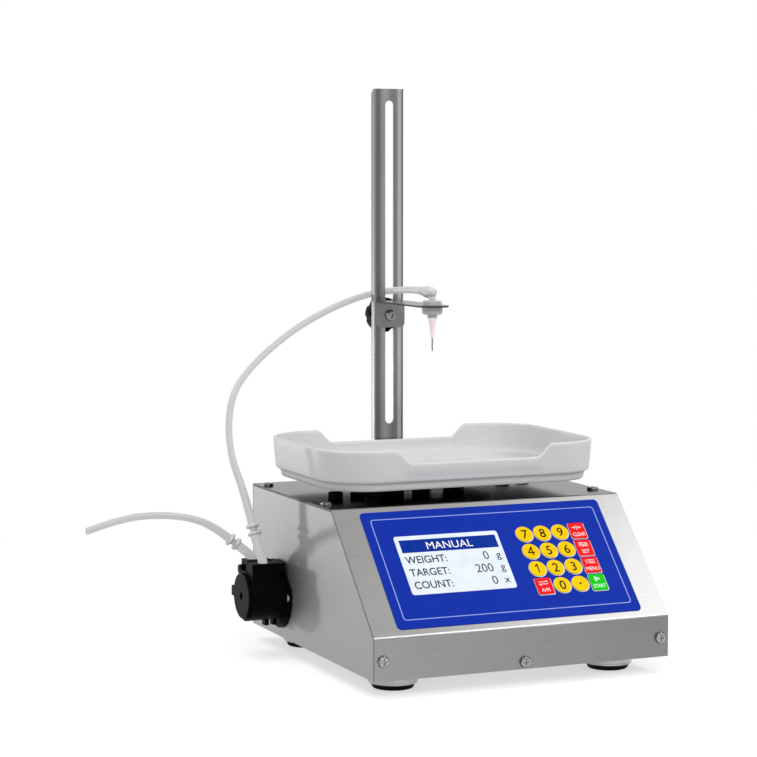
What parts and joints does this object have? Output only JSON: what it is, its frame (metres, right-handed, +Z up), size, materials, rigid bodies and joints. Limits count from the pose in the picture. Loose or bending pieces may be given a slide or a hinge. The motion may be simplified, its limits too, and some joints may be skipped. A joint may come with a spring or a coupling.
{
  "type": "liquid filling machine",
  "caption": "Bench liquid filling machine: sloped steel console with keypad, side tube pump, slotted column with nozzle arm over a weighing pan.",
  "frame": {"origin": "on the floor under the centre of the case's footprint", "axes": "+X to the operator's right, +Y to the rear, +Z up; the console faces -Y"},
  "size_m": [0.4278, 0.3031, 0.48],
  "materials": {
    "console_steel": "brushed",
    "panel_steel": "satin",
    "bright_fasteners": "polished",
    "foot_metal": "satin",
    "black_rubber": "matte",
    "column_steel": "brushed",
    "knob_plastic": "matte",
    "nozzle_metal": "polished",
    "white_plastic": "gloss",
    "pink_plastic": "gloss",
    "needle_steel": "polished",
    "clear_silicone": "translucent",
    "pump_plastic": "satin",
    "pump_cover_plastic": "satin",
    "rotor_plastic": "matte",
    "roller_plastic": "matte",
    "motor_steel": "satin",
    "cell_aluminium": "machined",
    "carrier_plastic": "matte",
    "pan_plastic": "satin",
    "blue_membrane": "satin",
    "window_film": "gloss",
    "display_glass": "gloss",
    "circuit_board": "matte",
    "yellow_key": "satin",
    "red_key": "satin",
    "green_key": "satin",
    "supply_metal": "satin",
    "black_fittings": "satin",
    "rocker_red": "satin"
  },
  "bodies": {
    "machine": {"base_tray": "console_steel", "console_cover": "console_steel", "left_side_panel": "panel_steel", "right_side_panel": "panel_steel", "rear_panel": "panel_steel", "case_screws": "bright_fasteners", "column_bolts": "bright_fasteners", "pump_screws": "bright_fasteners", "foot_cups": "foot_metal", "foot_pads": "black_rubber", "pan_cushions": "black_rubber", "column": "column_steel", "tube_couplers": "white_plastic", "delivery_tube": "clear_silicone", "suction_tube": "clear_silicone", "pump_tube": "clear_silicone", "pump_housing": "pump_plastic", "pump_motor": "motor_steel", "load_cell": "cell_aluminium", "load_cell_blocks": "cell_aluminium", "pan_carrier": "carrier_plastic", "membrane_overlay": "blue_membrane", "display_window": "window_film", "display_module": "display_glass", "console_board": "circuit_board", "power_supply": "supply_metal", "power_inlet": "black_fittings", "pedal_socket": "black_fittings"},
    "carriage": {"nozzle_arm": "column_steel", "clamp_bolt": "bright_fasteners", "clamp_washer": "bright_fasteners", "holder_nut": "nozzle_metal", "luer_holder": "nozzle_metal", "elbow_fitting": "white_plastic"},
    "knob": {"clamp_knob": "knob_plastic"},
    "needle": {"needle_hub": "pink_plastic", "needle_tube": "needle_steel"},
    "pan": {"weighing_pan": "pan_plastic"},
    "rotor": {"pump_rotor": "rotor_plastic"},
    "roller_1": {"pump_roller_1": "roller_plastic"},
    "roller_2": {"pump_roller_2": "roller_plastic"},
    "roller_3": {"pump_roller_3": "roller_plastic"},
    "pump_lid": {"pump_cover": "pump_cover_plastic"},
    "rocker": {"power_rocker": "rocker_red"},
    "key_7_button": {"key_7": "yellow_key"},
    "key_8_button": {"key_8": "yellow_key"},
    "key_9_button": {"key_9": "yellow_key"},
    "key_red_top_button": {"key_red_top": "red_key"},
    "key_4_button": {"key_4": "yellow_key"},
    "key_5_button": {"key_5": "yellow_key"},
    "key_6_button": {"key_6": "yellow_key"},
    "key_red_upper_button": {"key_red_upper": "red_key"},
    "key_1_button": {"key_1": "yellow_key"},
    "key_2_button": {"key_2": "yellow_key"},
    "key_3_button": {"key_3": "yellow_key"},
    "key_red_lower_button": {"key_red_lower": "red_key"},
    "key_red_left_button": {"key_red_left": "red_key"},
    "key_0_button": {"key_0": "yellow_key"},
    "key_point_button": {"key_point": "yellow_key"},
    "key_green_button": {"key_green": "green_key"}
  },
  "joints": [
    {"name": "carriage_slide", "type": "slide", "parent": "machine", "child": "carriage", "axis": [0, 0, 1], "range_m": [-0.085, 0.06], "deforming": ["delivery_tube"]},
    {"name": "knob_turn", "type": "hinge", "parent": "carriage", "child": "knob", "pos_m": [0, 0.15, 0.2804], "axis": [0, 1, 0], "range_deg": [0, 720]},
    {"name": "needle_twist", "type": "hinge", "parent": "carriage", "child": "needle", "pos_m": [0, 0.044, 0.28], "axis": [0, 0, 1], "range_deg": [0, 90]},
    {"name": "pan_lift", "type": "slide", "parent": "machine", "child": "pan", "axis": [0, 0, 1], "range_m": [0, 0.015]},
    {"name": "rotor_spin", "type": "hinge", "parent": "machine", "child": "rotor", "pos_m": [-0.15, 0.069, 0.051], "axis": [1, 0, 0], "continuous": true},
    {"name": "roller_1_spin", "type": "hinge", "parent": "rotor", "child": "roller_1", "pos_m": [-0.15, 0.069, 0.0594], "axis": [1, 0, 0], "continuous": true},
    {"name": "roller_2_spin", "type": "hinge", "parent": "rotor", "child": "roller_2", "pos_m": [-0.15, 0.06173, 0.0468], "axis": [1, 0, 0], "continuous": true},
    {"name": "roller_3_spin", "type": "hinge", "parent": "rotor", "child": "roller_3", "pos_m": [-0.15, 0.07627, 0.0468], "axis": [1, 0, 0], "continuous": true},
    {"name": "pump_lid_twist", "type": "hinge", "parent": "machine", "child": "pump_lid", "pos_m": [-0.1635, 0.069, 0.051], "axis": [1, 0, 0], "range_deg": [0, 20]},
    {"name": "rocker_tilt", "type": "hinge", "parent": "machine", "child": "rocker", "pos_m": [0.078, 0.133, 0.076], "axis": [0, 0, -1], "range_deg": [0, 20]},
    {"name": "key_7_press", "type": "slide", "parent": "machine", "child": "key_7_button", "axis": [0, 0.7151, -0.699], "range_m": [0, 0.0004], "stiffness_N_per_m": 60, "springref_m": -0.003},
    {"name": "key_8_press", "type": "slide", "parent": "machine", "child": "key_8_button", "axis": [0, 0.7151, -0.699], "range_m": [0, 0.0004], "stiffness_N_per_m": 60, "springref_m": -0.003},
    {"name": "key_9_press", "type": "slide", "parent": "machine", "child": "key_9_button", "axis": [0, 0.7151, -0.699], "range_m": [0, 0.0004], "stiffness_N_per_m": 60, "springref_m": -0.003},
    {"name": "key_red_top_press", "type": "slide", "parent": "machine", "child": "key_red_top_button", "axis": [0, 0.7151, -0.699], "range_m": [0, 0.0004], "stiffness_N_per_m": 60, "springref_m": -0.003},
    {"name": "key_4_press", "type": "slide", "parent": "machine", "child": "key_4_button", "axis": [0, 0.7151, -0.699], "range_m": [0, 0.0004], "stiffness_N_per_m": 60, "springref_m": -0.003},
    {"name": "key_5_press", "type": "slide", "parent": "machine", "child": "key_5_button", "axis": [0, 0.7151, -0.699], "range_m": [0, 0.0004], "stiffness_N_per_m": 60, "springref_m": -0.003},
    {"name": "key_6_press", "type": "slide", "parent": "machine", "child": "key_6_button", "axis": [0, 0.7151, -0.699], "range_m": [0, 0.0004], "stiffness_N_per_m": 60, "springref_m": -0.003},
    {"name": "key_red_upper_press", "type": "slide", "parent": "machine", "child": "key_red_upper_button", "axis": [0, 0.7151, -0.699], "range_m": [0, 0.0004], "stiffness_N_per_m": 60, "springref_m": -0.003},
    {"name": "key_1_press", "type": "slide", "parent": "machine", "child": "key_1_button", "axis": [0, 0.7151, -0.699], "range_m": [0, 0.0004], "stiffness_N_per_m": 60, "springref_m": -0.003},
    {"name": "key_2_press", "type": "slide", "parent": "machine", "child": "key_2_button", "axis": [0, 0.7151, -0.699], "range_m": [0, 0.0004], "stiffness_N_per_m": 60, "springref_m": -0.003},
    {"name": "key_3_press", "type": "slide", "parent": "machine", "child": "key_3_button", "axis": [0, 0.7151, -0.699], "range_m": [0, 0.0004], "stiffness_N_per_m": 60, "springref_m": -0.003},
    {"name": "key_red_lower_press", "type": "slide", "parent": "machine", "child": "key_red_lower_button", "axis": [0, 0.7151, -0.699], "range_m": [0, 0.0004], "stiffness_N_per_m": 60, "springref_m": -0.003},
    {"name": "key_red_left_press", "type": "slide", "parent": "machine", "child": "key_red_left_button", "axis": [0, 0.7151, -0.699], "range_m": [0, 0.0004], "stiffness_N_per_m": 60, "springref_m": -0.003},
    {"name": "key_0_press", "type": "slide", "parent": "machine", "child": "key_0_button", "axis": [0, 0.7151, -0.699], "range_m": [0, 0.0004], "stiffness_N_per_m": 60, "springref_m": -0.003},
    {"name": "key_point_press", "type": "slide", "parent": "machine", "child": "key_point_button", "axis": [0, 0.7151, -0.699], "range_m": [0, 0.0004], "stiffness_N_per_m": 60, "springref_m": -0.003},
    {"name": "key_green_press", "type": "slide", "parent": "machine", "child": "key_green_button", "axis": [0, 0.7151, -0.699], "range_m": [0, 0.0004], "stiffness_N_per_m": 60, "springref_m": -0.003}
  ],
  "couplings": [
    {"joint": "roller_1_spin", "follows": "rotor_spin", "ratio": -2.8913},
    {"joint": "roller_2_spin", "follows": "rotor_spin", "ratio": -2.8913},
    {"joint": "roller_3_spin", "follows": "rotor_spin", "ratio": -2.8913}
  ]
}
